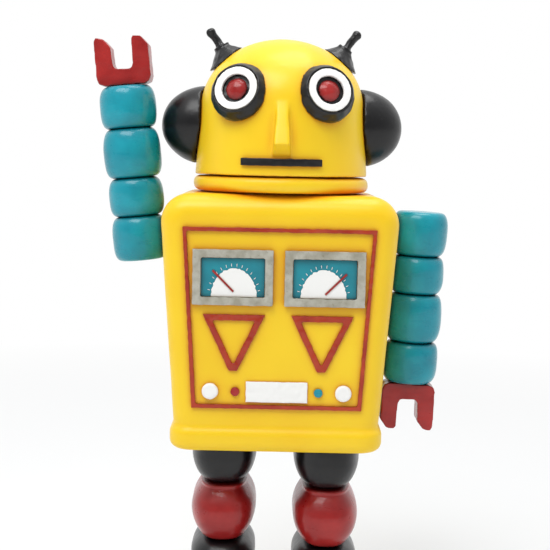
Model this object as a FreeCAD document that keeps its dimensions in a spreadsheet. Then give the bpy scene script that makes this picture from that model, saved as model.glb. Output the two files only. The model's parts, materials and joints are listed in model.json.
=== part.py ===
import FreeCAD, Part
import Sketcher
import math
import os
from types import SimpleNamespace

# A wind-up walking robot, 25 cm tall, in millimetres. It faces -Y and stands on z = 0.
# Its right side is at -X, with the arm raised; its left side is at +X, with the arm hanging.
# Two synchronised crankshafts inside the torso carry the legs round in small circles.

Vector = FreeCAD.Vector
Rotation = FreeCAD.Rotation
Placement = FreeCAD.Placement
X_AXIS = Vector(1, 0, 0)
Y_AXIS = Vector(0, 1, 0)
Z_AXIS = Vector(0, 0, 1)
RIGHT, LEFT = -1, 1

SIZES = {
    # torso casing
    "torso_bottom": 88.0,
    "torso_top": 185.0,
    "torso_half_bottom": 38.6,
    "torso_flare_angle": 4.2,
    "torso_half_depth": 35.0,
    "torso_shoulder_round": 11.0,
    "torso_edge_round": 7.5,
    "casing_wall": 1.8,
    "lip_half_width": 40.7,
    "lip_half_depth": 36.4,
    "lip_height": 9.5,
    "lip_round": 3.2,
    "base_plate_level": 97.0,
    "base_plate_thickness": 1.5,
    "base_plate_half_width": 37.0,
    "base_plate_half_depth": 33.0,
    "base_plate_corner": 6.6,
    "screw_column": 31.0,
    "screw_low_level": 104.0,
    "screw_high_level": 176.0,
    "screw_post_radius": 3.2,
    "screw_post_end": 26.0,
    "screw_shank_radius": 1.3,
    "screw_head_radius": 2.6,
    "screw_head_depth": 1.6,
    "screw_tip": 16.0,
    # chest panel
    "panel_top": 172.9,
    "panel_bottom": 104.6,
    "panel_half_top": 36.2,
    "panel_half_bottom": 32.0,
    "panel_bar": 1.8,
    "panel_proud": 1.2,
    "gauge_column": 17.1,
    "gauge_level": 154.2,
    "gauge_half_width": 15.1,
    "gauge_half_height": 10.5,
    "gauge_bar": 3.3,
    "gauge_proud": 2.0,
    "dial_thickness": 0.6,
    "needle_length": 11.0,
    "needle_width": 0.7,
    "needle_thickness": 0.4,
    "needle_rise": 1.7,
    "triangle_column": 16.5,
    "triangle_top": 140.5,
    "triangle_bottom": 118.9,
    "triangle_half_top": 11.9,
    "triangle_half_tip": 1.6,
    "triangle_bar": 2.6,
    "triangle_side_bar": 2.9,
    "triangle_proud": 1.1,
    "button_row_level": 111.2,
    "white_button_column": 25.0,
    "white_button_radius": 3.2,
    "white_button_proud": 1.8,
    "stud_column": 15.6,
    "stud_radius": 1.8,
    "stud_proud": 1.2,
    "label_half_width": 11.7,
    "label_half_height": 4.1,
    "label_proud": 0.8,
    # head
    "collar_bottom": 185.3,
    "collar_floor": 189.3,
    "head_bottom": 191.5,
    "collar_radius": 34.8,
    "collar_inner_radius": 31.0,
    "collar_round": 2.7,
    "head_bottom_radius": 34.2,
    "head_shoulder_radius": 32.2,
    "head_shoulder_level": 218.0,
    "head_dome_height": 27.0,
    "head_wall": 1.6,
    "nose_top": 233.0,
    "nose_tip_level": 203.5,
    "nose_under_level": 199.5,
    "nose_tip_reach": 38.5,
    "nose_half_bottom": 3.4,
    "nose_half_top": 1.3,
    "mouth_level": 195.5,
    "mouth_height": 3.0,
    "mouth_angle": 52.0,
    "mouth_radius": 35.1,
    "eye_column": 16.4,
    "eye_reach": 27.1,
    "eye_level": 223.0,
    "eye_turn": 19.0,
    "eye_rise": 17.0,
    "eye_hole_radius": 9.0,
    "eye_plug_length": 9.0,
    "eye_cup_radius": 11.3,
    "eye_face_radius": 9.3,
    "eye_proud": 3.6,
    "eye_recess_radius": 8.4,
    "eye_recess_depth": 1.4,
    "eye_ring_inner": 5.4,
    "eye_ring_thickness": 1.5,
    "eye_lens_radius": 4.5,
    "eye_lens_height": 2.2,
    "ear_level": 211.0,
    "ear_centre": 30.0,
    "ear_half_depth": 14.0,
    "ear_setback": 5.0,
    "ear_tip": 48.2,
    "ear_radius": 15.8,
    "antenna_column": 22.0,
    "antenna_level": 237.6,
    "antenna_base_angle": 30.0,
    "antenna_rod_angle": 38.0,
    "antenna_base_radius": 7.5,
    "antenna_collar_radius": 3.4,
    "antenna_rod_radius": 1.9,
    "antenna_rod_length": 7.4,
    "spigot_radius": 6.0,
    "spigot_bore": 4.0,
    "spigot_bottom": 180.0,
    "neck_clip_radius": 8.5,
    "neck_clip_level": 181.4,
    "neck_clip_thickness": 1.5,
    # arms: distances along the arm are measured from the shoulder axis
    "shoulder_column": 56.0,
    "shoulder_level": 167.7,
    "arm_spread_angle": 1.6,
    "arm_rod_radius": 2.2,
    "arm_stud_radius": 3.0,
    "arm_stud_length": 15.0,
    "arm_wall_distance": 11.5,
    "arm_clip_radius": 5.0,
    "arm_clip_thickness": 1.2,
    "arm_start": -10.7,
    "bead_end_one": 6.9,
    "bead_end_two": 22.1,
    "bead_end_three": 41.5,
    "bead_end_four": 58.1,
    "bead_radius_one": 11.2,
    "bead_radius_two": 11.0,
    "bead_radius_three": 11.5,
    "bead_radius_four": 11.3,
    "bead_round": 5.5,
    "wrist_gap": 0.1,
    "claw_end": 77.3,
    "claw_half_width": 10.8,
    "claw_gap_half_width": 4.0,
    "claw_web": 6.5,
    "claw_thickness": 11.0,
    "claw_web_round": 5.0,
    "claw_tip_round": 2.5,
    "claw_rim_round": 2.5,
    "claw_peg_length": 5.0,
    "fit": 0.05,
    # legs
    "leg_column": 20.5,
    "leg_half_width": 13.25,
    "leg_half_depth": 23.0,
    "leg_plan_round": 11.0,
    "leg_bead_round": 6.5,
    "hip_top": 92.0,
    "thigh_top": 69.8,
    "knee_top": 46.0,
    "foot_top": 31.0,
    "foot_half_width": 14.5,
    "foot_toe_reach": 38.0,
    "foot_heel_reach": 24.0,
    "foot_sole_height": 14.0,
    "foot_edge_round": 5.0,
    "foot_plan_round": 11.0,
    "leg_rod_radius": 2.0,
    "leg_rod_bottom": 8.0,
    "hanger_inner_face": 18.4,
    "hanger_thickness": 1.6,
    "hanger_half_depth": 5.0,
    "hanger_top": 137.0,
    "hanger_tab_thickness": 1.5,
    "slot_inner": 17.8,
    "slot_outer": 20.6,
    "slot_half_depth": 8.6,
    # walking gear
    "crank_throw": 3.0,
    "upper_crank_level": 132.0,
    "idler_level": 119.2,
    "lower_crank_level": 106.4,
    "crank_shaft_radius": 1.5,
    "crank_disc_radius": 5.5,
    "crank_disc_inner_face": 15.6,
    "crank_disc_thickness": 2.0,
    "crank_pin_radius": 1.25,
    "crank_pin_end": 21.4,
    "crank_pin_head_radius": 2.0,
    "crank_pin_head_start": 20.4,
    "cheek_inner_face": 14.0,
    "cheek_thickness": 1.0,
    "frame_front": -9.0,
    "frame_back": 9.0,
    "frame_top": 140.0,
    "crank_gear_teeth": 16,
    "gear_module": 0.8,
    "crank_gear_face": -13.7,
    "crank_gear_thickness": 1.2,
    "idler_pin_radius": 1.2,
    "idler_pin_length": 2.2,
    "pinion_teeth": 12,
    "drive_pinion_face": 10.3,
    "drive_pinion_thickness": 1.8,
    # motor
    "crown_teeth": 28,
    "crown_pitch_plane": 4.8,
    "crown_disc_face": 5.6,
    "crown_disc_thickness": 1.8,
    "crown_tooth_inner": 10.4,
    "crown_radius": 12.0,
    "crown_tooth_width": 0.75,
    "arbor_radius": 1.5,
    "motor_plate_half_width": 24.0,
    "motor_plate_bottom": 112.0,
    "motor_plate_top": 178.0,
    "motor_plate_thickness": 1.0,
    "front_plate_face": 9.0,
    "rear_plate_face": 26.0,
    "pillar_column": 20.0,
    "pillar_low_level": 116.0,
    "pillar_high_level": 174.0,
    "pillar_radius": 2.0,
    "great_wheel_teeth": 48,
    "great_wheel_level": 156.0,
    "great_wheel_face": 10.5,
    "great_wheel_thickness": 2.0,
    "second_wheel_teeth": 36,
    "fine_module": 0.6,
    "second_wheel_face": 23.0,
    "second_wheel_thickness": 1.5,
    "governor_teeth": 10,
    "governor_angle": 225.0,
    "governor_arbor_radius": 1.0,
    "fan_reach": 9.0,
    "fan_face": 13.0,
    "fan_depth": 8.0,
    "fan_thickness": 0.8,
    "fan_hub_radius": 2.0,
    "key_arbor_radius": 2.0,
    "key_arbor_end": 48.0,
    "key_barrel_radius": 3.4,
    "key_barrel_start": 38.0,
    "key_bow_centre": 56.0,
    "key_bow_radius": 8.0,
    "key_bow_spread": 9.5,
    "key_bow_thickness": 2.4,
    "spring_face": 13.5,
    "spring_width": 8.5,
    "spring_start_radius": 3.6,
    "spring_pitch": 1.6,
    "spring_thickness": 0.5,
    "spring_half_turns": 15,
}


class Size:
    """A size as a number, together with the same size written as a formula over the sheet."""

    def __init__(self, number, text):
        self.number = number
        self.text = text

    def __float__(self):
        return self.number

    def __add__(self, other):
        other = as_size(other)
        return Size(self.number + other.number, f"({self.text} + {other.text})")

    def __sub__(self, other):
        other = as_size(other)
        return Size(self.number - other.number, f"({self.text} - {other.text})")

    def __mul__(self, other):
        other = as_size(other)
        return Size(self.number * other.number, f"({self.text} * {other.text})")

    def __truediv__(self, other):
        other = as_size(other)
        return Size(self.number / other.number, f"({self.text} / {other.text})")

    def __neg__(self):
        return self * -1

    __radd__ = __add__
    __rmul__ = __mul__


def as_size(value):
    return value if isinstance(value, Size) else Size(float(value), f"({float(value)})")


def tangent(angle):
    return Size(math.tan(math.radians(float(angle))), f"tan({angle.text})")


doc = FreeCAD.newDocument("wind_up_robot")
sheet = doc.addObject("Spreadsheet::Sheet", "sizes")
for row, (alias, value) in enumerate(SIZES.items(), start=1):
    sheet.set(f"A{row}", alias)
    sheet.set(f"B{row}", str(value))
    sheet.setAlias(f"B{row}", alias)
doc.recompute()
dim = SimpleNamespace(**{name: Size(float(sheet.get(name)), f"sizes.{name}") for name in SIZES})

nodes = []


def node(item, label):
    """Keep an object as a sub-part of the robot, under its own name."""
    item.Label = label
    nodes.append(item)
    return item


# ---- objects of the document, with their sizes bound to the sheet ----


def bind(item, prop, size):
    size = as_size(size)
    item.setExpression(prop, size.text)


def place(item, base=(0, 0, 0), rotation=Rotation()):
    """Place an object. Its position follows the sheet."""
    base = [as_size(part) for part in base]
    item.Placement = Placement(Vector(*[float(part) for part in base]), rotation)
    for letter, part in zip("xyz", base):
        bind(item, f"Placement.Base.{letter}", part)
    return item


def along(direction):
    """The rotation that turns +Z to a direction."""
    return Rotation(Z_AXIS, direction)


def box(low, high):
    item = doc.addObject("Part::Box", "block")
    low = [as_size(part) for part in low]
    high = [as_size(part) for part in high]
    for prop, start, end in zip(("Length", "Width", "Height"), low, high):
        bind(item, prop, end - start)
    return place(item, low)


def cylinder(radius, length, base=(0, 0, 0), direction=Z_AXIS):
    item = doc.addObject("Part::Cylinder", "round")
    bind(item, "Radius", radius)
    bind(item, "Height", length)
    return place(item, base, along(direction))


def cone(start_radius, end_radius, length, base=(0, 0, 0), direction=Z_AXIS):
    item = doc.addObject("Part::Cone", "taper")
    bind(item, "Radius1", start_radius)
    bind(item, "Radius2", end_radius)
    bind(item, "Height", length)
    return place(item, base, along(direction))


def ball(radius, base):
    item = doc.addObject("Part::Sphere", "ball")
    bind(item, "Radius", radius)
    return place(item, base)


def fuse(*items):
    item = doc.addObject("Part::MultiFuse", "joined")
    item.Shapes = list(items)
    item.Refine = True
    return item


def group(*items):
    item = doc.addObject("Part::Compound", "group")
    item.Links = list(items)
    return item


def cut(base, *tools):
    item = doc.addObject("Part::Cut", "cut")
    item.Base = base
    item.Tool = tools[0] if len(tools) == 1 else fuse(*tools)
    return item


def common(base, tool):
    item = doc.addObject("Part::Common", "shared")
    item.Base = base
    item.Tool = tool
    return item


def mirrored(source):
    """The same object on the other side of the plane x = 0."""
    item = doc.addObject("Part::Mirroring", "mirrored")
    item.Source = source
    item.Normal = X_AXIS
    return item


def both_sides(source):
    return group(source, mirrored(source))


def computed(shape, label):
    item = doc.addObject("Part::Feature", label)
    item.Shape = shape
    return item


# ---- bodies made from sketches ----


def new_sketch(body, role, offset=0):
    """A sketch on one of a body's origin planes, moved along the plane's normal."""
    plane = next(part for part in body.Origin.OriginFeatures if part.Role == role)
    sketch = body.newObject("Sketcher::SketchObject", f"{body.Label}_outline")
    sketch.AttachmentSupport = [(plane, "")]
    sketch.MapMode = "FlatFace"
    bind(sketch, "AttachmentOffset.Base.z", offset)
    return sketch


def pin(sketch, line, vertex, x, y):
    """Fix a point of a sketch at formulas over the sheet."""
    for kind, distance, axis in (("DistanceX", x, -2), ("DistanceY", y, -1)):
        distance = as_size(distance)
        if float(distance) == 0:
            sketch.addConstraint(Sketcher.Constraint("PointOnObject", line, vertex, axis))
            continue
        limit = Sketcher.Constraint(kind, -1, 1, line, vertex, float(distance))
        number = sketch.addConstraint(limit)
        sketch.setExpression(f"Constraints[{number}]", distance.text)


def draw_polygon(sketch, corners):
    points = [Vector(float(x), float(y), 0) for x, y in corners]
    first = sketch.GeometryCount
    count = len(points)
    for start, end in zip(points, points[1:] + points[:1]):
        sketch.addGeometry(Part.LineSegment(start, end), False)
    for step in range(count):
        following = first + (step + 1) % count
        sketch.addConstraint(Sketcher.Constraint("Coincident", first + step, 2, following, 1))
    for step, (x, y) in enumerate(corners):
        pin(sketch, first + step, 1, x, y)


def draw_circle(sketch, x, y, radius):
    centre = Vector(float(x), float(y), 0)
    line = sketch.addGeometry(Part.Circle(centre, Z_AXIS, float(radius)), False)
    number = sketch.addConstraint(Sketcher.Constraint("Radius", line, float(radius)))
    sketch.setExpression(f"Constraints[{number}]", radius.text)
    pin(sketch, line, 3, x, y)


def padded(label, role, outlines, length, offset=0, symmetric=False):
    """A body padded from polygons on an origin plane. XZ pads grow towards -Y."""
    body = doc.addObject("PartDesign::Body", label)
    sketch = new_sketch(body, role, offset)
    for corners in outlines:
        draw_polygon(sketch, corners)
    pad = body.newObject("PartDesign::Pad", f"{label}_pad")
    pad.Profile = (sketch, [""])
    bind(pad, "Length", length)
    if symmetric:
        pad.SideType = "Symmetric"
    doc.recompute()
    return body


def drilled(body, x, y, radius):
    """Drill a body of padded rectangles right through along Z."""
    sketch = new_sketch(body, "XY_Plane")
    draw_circle(sketch, x, y, radius)
    pocket = body.newObject("PartDesign::Pocket", f"{body.Label}_hole")
    pocket.Profile = (sketch, [""])
    pocket.Type = "ThroughAll"
    pocket.SideType = "Symmetric"
    doc.recompute()
    return body


def turned(label, outline):
    """A body turned about its own Z axis from (radius, height) corners."""
    body = doc.addObject("PartDesign::Body", label)
    sketch = new_sketch(body, "XZ_Plane")
    draw_polygon(sketch, outline)
    turn = body.newObject("PartDesign::Revolution", f"{label}_turn")
    turn.Profile = (sketch, [""])
    turn.ReferenceAxis = (sketch, ["V_Axis"])
    turn.Angle = 360
    doc.recompute()
    return body


def rounded(body, radius, chosen):
    """Round the edges of a body that a test picks out."""
    last = body.Tip
    edges = [f"Edge{number}" for number, edge in enumerate(last.Shape.Edges, start=1) if chosen(edge)]
    fillet = body.newObject("PartDesign::Fillet", f"{body.Label}_round")
    fillet.Base = (last, edges)
    bind(fillet, "Radius", radius)
    doc.recompute()
    return body


def parallel_to(axis):
    """A test for straight edges along an axis."""

    def test(edge):
        if len(edge.Vertexes) < 2:
            return False
        step = edge.Vertexes[1].Point - edge.Vertexes[0].Point
        return abs(step.normalize().dot(axis)) > 0.999

    return test


def circle_near(radius, height=None):
    """A test for whole circles of a radius about Z, at one height or at any."""

    def test(edge):
        if not isinstance(edge.Curve, Part.Circle):
            return False
        right_size = abs(edge.Curve.Radius - float(radius)) < 0.01
        return right_size and (height is None or abs(edge.Curve.Center.z - float(height)) < 0.01)

    return test


def flat_at(heights, letter="z"):
    """A test for edges that lie wholly at one of some distances along an axis."""

    def test(edge):
        box_of_edge = edge.BoundBox
        low = getattr(box_of_edge, letter.upper() + "Min")
        high = getattr(box_of_edge, letter.upper() + "Max")
        return high - low < 0.01 and any(abs(low - float(level)) < 0.01 for level in heights)

    return test


# ---- gears ----


def polar(radius, angle):
    return Vector(radius * math.cos(angle), radius * math.sin(angle), 0)


PRESSURE_ANGLE = math.radians(25)
ADDENDUM = 0.8
DEDENDUM = 1.05
BACKLASH = 0.16


def gear_shape(teeth, module, thickness, bore, first_tooth):
    """A spur gear about Z whose first tooth is centred at an angle in degrees.

    Its teeth are stub involutes, thinned by the backlash. Each flank is one arc.
    """
    teeth = round(float(teeth))
    module = float(module)
    pitch_radius = teeth * module / 2
    base_radius = pitch_radius * math.cos(PRESSURE_ANGLE)
    tip_radius = pitch_radius + ADDENDUM * module
    root_radius = pitch_radius - DEDENDUM * module
    half_pitch_tooth = (math.pi * module / 2 - BACKLASH) / 2 / pitch_radius
    pitch_involute = math.tan(PRESSURE_ANGLE) - PRESSURE_ANGLE

    def half_tooth(radius):
        pressure = math.acos(min(1.0, base_radius / radius))
        return half_pitch_tooth + pitch_involute - (math.tan(pressure) - pressure)

    middle_radius = (tip_radius + root_radius) / 2
    edges = []
    for number in range(teeth):
        centre = math.radians(float(first_tooth)) + number * 2 * math.pi / teeth
        gap_centre = centre + math.pi / teeth
        next_centre = centre + 2 * math.pi / teeth
        rise = [polar(radius, centre - half_tooth(radius)) for radius in (root_radius, middle_radius, tip_radius)]
        fall = [polar(radius, centre + half_tooth(radius)) for radius in (tip_radius, middle_radius, root_radius)]
        next_root = polar(root_radius, next_centre - half_tooth(root_radius))
        edges.append(Part.Arc(*rise).toShape())
        edges.append(Part.Arc(rise[-1], polar(tip_radius, centre), fall[0]).toShape())
        edges.append(Part.Arc(*fall).toShape())
        edges.append(Part.Arc(fall[-1], polar(root_radius, gap_centre), next_root).toShape())
    blank = Part.Face(Part.Wire(edges)).extrude(Z_AXIS * float(thickness))
    return blank.cut(Part.makeCylinder(float(bore), float(thickness)))


def gear(label, teeth, module, thickness, bore, first_tooth, base, direction):
    """A gear about a given axis; first_tooth is measured in the gear's own plane."""
    item = computed(gear_shape(teeth, module, thickness, bore, first_tooth), label)
    return place(item, base, FACING[direction])


# Turning +Z to +X or +Y this way keeps one flat axis of a gear: its own +X stays along -Z or +X.
FACING = {
    "x": Rotation(Y_AXIS, 90),
    "y": Rotation(X_AXIS, -90),
}


# ---- torso ----

torso_half_top = dim.torso_half_bottom + (dim.torso_top - dim.torso_bottom) * tangent(dim.torso_flare_angle)
torso_front = -dim.torso_half_depth
lip_top = dim.torso_bottom + dim.lip_height


def tapered_block(label, inset, bottom):
    """The torso's outer form, or the same form set in by a wall."""
    half_bottom = dim.torso_half_bottom - (dim.torso_bottom - bottom) * tangent(dim.torso_flare_angle) - inset
    half_top = torso_half_top - inset
    top = dim.torso_top - inset
    corners = [(-half_bottom, bottom), (half_bottom, bottom), (half_top, top), (-half_top, top)]
    depth = (dim.torso_half_depth - inset) * 2
    body = padded(label, "XZ_Plane", [corners], depth, symmetric=True)

    def top_corner(edge):
        return parallel_to(Y_AXIS)(edge) and edge.BoundBox.ZMin > float(top) - 1

    rounded(body, dim.torso_shoulder_round - inset, top_corner)
    faces = (float(dim.torso_half_depth - inset), -float(dim.torso_half_depth - inset))

    def face_rim(edge):
        return flat_at(faces, "y")(edge) and edge.BoundBox.ZMax > float(bottom) + 1

    return rounded(body, dim.torso_edge_round - inset, face_rim)


def lip_block():
    """The rolled lip round the bottom of the torso."""
    corners = [
        (-dim.lip_half_width, -dim.lip_half_depth),
        (dim.lip_half_width, -dim.lip_half_depth),
        (dim.lip_half_width, dim.lip_half_depth),
        (-dim.lip_half_width, dim.lip_half_depth),
    ]
    body = padded("lip_block", "XY_Plane", [corners], dim.lip_height, offset=dim.torso_bottom)
    rounded(body, dim.torso_edge_round + 1, parallel_to(Z_AXIS))
    return rounded(body, dim.lip_round, flat_at((dim.torso_bottom, lip_top)))


def screw_places():
    for side in (RIGHT, LEFT):
        for level in (dim.screw_low_level, dim.screw_high_level):
            yield dim.screw_column * side, level


def torso_shells():
    outer = fuse(tapered_block("torso_form", 0, dim.torso_bottom), lip_block())
    inner = tapered_block("torso_hollow", dim.casing_wall, dim.torso_bottom - 5)
    neck_hole = cylinder(dim.spigot_radius + dim.fit, 10, (0, 0, dim.torso_top - 5))
    tilt = float(dim.torso_flare_angle)
    shoulder_holes = []
    for side in (RIGHT, LEFT):
        inward = Rotation(Y_AXIS, tilt * side).multVec(Vector(-side, 0, 0))
        base = (dim.shoulder_column * side, 0, dim.shoulder_level)
        shoulder_holes.append(cylinder(dim.arm_stud_radius + dim.fit, dim.arm_stud_length, base, inward))
    shell = cut(outer, inner, neck_hole, *shoulder_holes)
    reach = 60
    front_half = common(shell, box((-reach, -reach, 0), (reach, 0, dim.torso_top + 5)))
    back_half = common(shell, box((-reach, 0, 0), (reach, reach, dim.torso_top + 5)))
    inner_face = dim.torso_half_depth - dim.casing_wall
    front_posts, pilot_holes, back_posts, back_holes = [], [], [], []
    for x, level in screw_places():
        post_length = inner_face + dim.screw_post_end
        front_posts.append(cylinder(dim.screw_post_radius, post_length, (x, -inner_face, level), Y_AXIS))
        pilot_holes.append(cylinder(dim.screw_shank_radius, 12, (x, dim.screw_tip, level), Y_AXIS))
        back_posts.append(cylinder(dim.screw_post_radius, inner_face - dim.screw_post_end,
                                   (x, dim.screw_post_end, level), Y_AXIS))
        back_holes.append(cylinder(dim.screw_shank_radius + 0.2, 20, (x, dim.screw_post_end - 1, level), Y_AXIS))
        sink = dim.torso_half_depth - dim.screw_head_depth
        back_holes.append(cylinder(dim.screw_head_radius + 0.2, 10, (x, sink, level), Y_AXIS))
    node(cut(fuse(front_half, *front_posts), *pilot_holes), "torso_front_shell")
    key_hole = cylinder(dim.key_arbor_radius + 0.6, 10, (0, inner_face - 1, dim.great_wheel_level), Y_AXIS)
    node(cut(fuse(back_half, *back_posts), key_hole, *back_holes), "torso_back_shell")


def body_screws():
    screws = []
    for x, level in screw_places():
        sink = dim.torso_half_depth - dim.screw_head_depth
        shank = cylinder(dim.screw_shank_radius, sink - dim.screw_tip, (x, dim.screw_tip, level), Y_AXIS)
        head = cylinder(dim.screw_head_radius, 1.1, (x, sink, level), Y_AXIS)
        driver_slot = box((x - 3, sink + 0.6, level - 0.3), (x + 3, sink + 2, level + 0.3))
        screws.append(cut(fuse(shank, head), driver_slot))
    node(group(*screws), "body_screws")


def base_plate():
    half_width = dim.base_plate_half_width
    half_depth = dim.base_plate_half_depth
    outer = [(-half_width, -half_depth), (half_width, -half_depth), (half_width, half_depth),
             (-half_width, half_depth)]
    slots = []
    for side in (RIGHT, LEFT):
        near, far = dim.slot_inner * side, dim.slot_outer * side
        slots.append([(near, -dim.slot_half_depth), (far, -dim.slot_half_depth),
                      (far, dim.slot_half_depth), (near, dim.slot_half_depth)])
    body = padded("plate", "XY_Plane", [outer] + slots, dim.base_plate_thickness, offset=dim.base_plate_level)

    def plate_corner(edge):
        return parallel_to(Z_AXIS)(edge) and abs(edge.BoundBox.XMax) > 30

    node(rounded(body, dim.base_plate_corner, plate_corner), "base_plate")


# ---- chest panel ----


def trapezoid(half_top, half_bottom, top, bottom, column=0):
    column = as_size(column)
    return [(column - half_top, top), (column + half_top, top),
            (column + half_bottom, bottom), (column - half_bottom, bottom)]


def panel_border():
    bar = dim.panel_bar
    outer = trapezoid(dim.panel_half_top, dim.panel_half_bottom, dim.panel_top, dim.panel_bottom)
    inner = trapezoid(dim.panel_half_top - bar, dim.panel_half_bottom - bar,
                      dim.panel_top - bar, dim.panel_bottom + bar)
    node(padded("border", "XZ_Plane", [outer, inner], dim.panel_proud, dim.torso_half_depth), "panel_border")


def gauges():
    column, level, bar = dim.gauge_column, dim.gauge_level, dim.gauge_bar
    half_width, half_height = dim.gauge_half_width, dim.gauge_half_height
    outer = trapezoid(half_width, half_width, level + half_height, level - half_height, column)
    inner = trapezoid(half_width - bar, half_width - bar, level + half_height - bar,
                      level - half_height + bar, column)
    frame = padded("frame", "XZ_Plane", [outer, inner], dim.gauge_proud, dim.torso_half_depth)
    node(both_sides(frame), "gauge_frames")
    dial = padded("dial", "XZ_Plane", [inner], dim.dial_thickness, dim.torso_half_depth)
    node(both_sides(dial), "gauge_dials")
    needles = []
    for side, lean in ((RIGHT, -45), (LEFT, 45)):
        needle = doc.addObject("Part::Box", "needle")
        bind(needle, "Length", dim.needle_width)
        bind(needle, "Width", dim.needle_thickness)
        bind(needle, "Height", dim.needle_length)
        face = torso_front - dim.dial_thickness - dim.needle_thickness
        base = (dim.gauge_column * side, face, level - half_height + bar + dim.needle_rise)
        needles.append(place(needle, base, Rotation(Y_AXIS, lean)))
    node(group(*needles), "gauge_needles")


def triangles():
    column = dim.triangle_column
    outer = trapezoid(dim.triangle_half_top, dim.triangle_half_tip, dim.triangle_top, dim.triangle_bottom, column)
    run = (dim.triangle_half_top - dim.triangle_half_tip) / (dim.triangle_top - dim.triangle_bottom)
    inner_top = dim.triangle_top - dim.triangle_bar
    inner_half = dim.triangle_half_top - run * dim.triangle_bar - dim.triangle_side_bar
    inner_tip = inner_top - inner_half / run
    inner = [(column - inner_half, inner_top), (column + inner_half, inner_top), (column, inner_tip)]
    frame = padded("triangle", "XZ_Plane", [outer, inner], dim.triangle_proud, dim.torso_half_depth)
    node(both_sides(frame), "chest_triangles")


def front_button(label, column, radius, proud):
    """A round button with a softened rim, standing on the chest."""
    body = turned(label, [(0, 0), (radius, 0), (radius, proud), (0, proud)])
    rounded(body, radius * 0.3, circle_near(radius, proud))
    return place(body, (column, torso_front, dim.button_row_level), Rotation(X_AXIS, 90))


def button_row():
    white = front_button("white_button", dim.white_button_column, dim.white_button_radius,
                         dim.white_button_proud)
    node(both_sides(white), "white_buttons")
    node(front_button("red", -dim.stud_column, dim.stud_radius, dim.stud_proud), "red_stud")
    node(front_button("teal", dim.stud_column, dim.stud_radius, dim.stud_proud), "teal_stud")
    plate = trapezoid(dim.label_half_width, dim.label_half_width, dim.button_row_level + dim.label_half_height,
                      dim.button_row_level - dim.label_half_height)
    node(padded("label", "XZ_Plane", [plate], dim.label_proud, dim.torso_half_depth), "label_plate")


# ---- head ----


def head_form(inset, bottom):
    """The head's outer form, or the same form set in by its wall."""
    drop = dim.head_bottom - bottom
    slope = (dim.head_bottom_radius - dim.head_shoulder_radius) / (dim.head_shoulder_level - dim.head_bottom)
    side = cone(dim.head_bottom_radius - inset + slope * drop, dim.head_shoulder_radius - inset,
                dim.head_shoulder_level - bottom, (0, 0, bottom))
    dome = doc.addObject("Part::Ellipsoid", "dome")
    dome.Angle1 = 0
    bind(dome, "Radius1", dim.head_dome_height - inset)
    bind(dome, "Radius2", dim.head_shoulder_radius - inset)
    bind(dome, "Radius3", dim.head_shoulder_radius - inset)
    place(dome, (0, 0, dim.head_shoulder_level))
    return side, dome


def nose():
    """A ridge that widens downwards and is undercut at its tip."""
    start = 20
    front_view = padded("nose_front", "XZ_Plane",
                        [trapezoid(dim.nose_half_top, dim.nose_half_bottom, dim.nose_top, dim.nose_under_level)],
                        30, start)
    profile = [(-start, dim.nose_top + 3), (-start - 7, dim.nose_top), (-dim.nose_tip_reach, dim.nose_tip_level),
               (-dim.head_bottom_radius, dim.nose_under_level), (-start, dim.nose_under_level)]
    side_view = padded("nose_side", "YZ_Plane", [profile], 20, symmetric=True)
    return common(front_view, side_view)


def eye_axis(side):
    """The direction in which an eye looks: outwards and a little up."""
    turn, rise = math.radians(float(dim.eye_turn)), math.radians(float(dim.eye_rise))
    return Vector(math.sin(turn) * math.cos(rise) * side, -math.cos(turn) * math.cos(rise), math.sin(rise))


def eye_base(side, depth):
    """A point on an eye's axis, at a distance in front of the head's surface."""
    axis = eye_axis(side)
    return (dim.eye_column * side + axis.x * depth, -dim.eye_reach + axis.y * depth, dim.eye_level + axis.z * depth)


def eye_parts(head_outer):
    cups, rings, lenses = [], [], []
    proud = dim.eye_proud
    for side in (RIGHT, LEFT):
        axis = eye_axis(side)
        front = cone(dim.eye_cup_radius, dim.eye_face_radius, proud, eye_base(side, 0), axis)
        skirt = cylinder(dim.eye_cup_radius, dim.eye_plug_length, eye_base(side, -dim.eye_plug_length), axis)
        body = fuse(front, skirt)
        plug = cylinder(dim.eye_hole_radius - dim.fit, dim.eye_plug_length + 1,
                        eye_base(side, -dim.eye_plug_length), axis)
        floor = proud - dim.eye_recess_depth
        recess = cylinder(dim.eye_recess_radius, 4, eye_base(side, floor), axis)
        cups.append(cut(fuse(cut(body, head_outer), plug), recess))
        ring = cylinder(dim.eye_recess_radius, dim.eye_ring_thickness, eye_base(side, floor), axis)
        opening = cylinder(dim.eye_ring_inner, 4, eye_base(side, floor - 1), axis)
        rings.append(cut(ring, opening))
        # the lens is the cap of a large ball
        height, radius = dim.eye_lens_height, dim.eye_lens_radius
        ball_radius = (radius * radius + height * height) / (height * 2)
        whole = ball(ball_radius, eye_base(side, floor + height - ball_radius))
        lenses.append(common(whole, cylinder(radius + 1, 4, eye_base(side, floor), axis)))
    node(group(*cups), "eye_cups")
    node(group(*rings), "eye_rings")
    node(group(*lenses), "eye_lenses")


def head_shell(head_outer):
    hollow = head_form(dim.head_wall, dim.head_bottom - 2)
    eye_holes = [cylinder(dim.eye_hole_radius, dim.eye_plug_length + 6, eye_base(side, -dim.eye_plug_length),
                          eye_axis(side)) for side in (RIGHT, LEFT)]
    node(cut(fuse(head_outer, nose()), *hollow, *eye_holes), "head_shell")


def ears(head_outer):
    """Rounded domes on the sides of the head, set a little back."""
    dome = doc.addObject("Part::Ellipsoid", "ear_form")
    bind(dome, "Radius1", dim.ear_radius)
    bind(dome, "Radius2", dim.ear_tip - dim.ear_centre)
    bind(dome, "Radius3", dim.ear_half_depth)
    place(dome, (dim.ear_centre, dim.ear_setback, dim.ear_level))
    node(both_sides(cut(dome, head_outer)), "ears")


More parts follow.
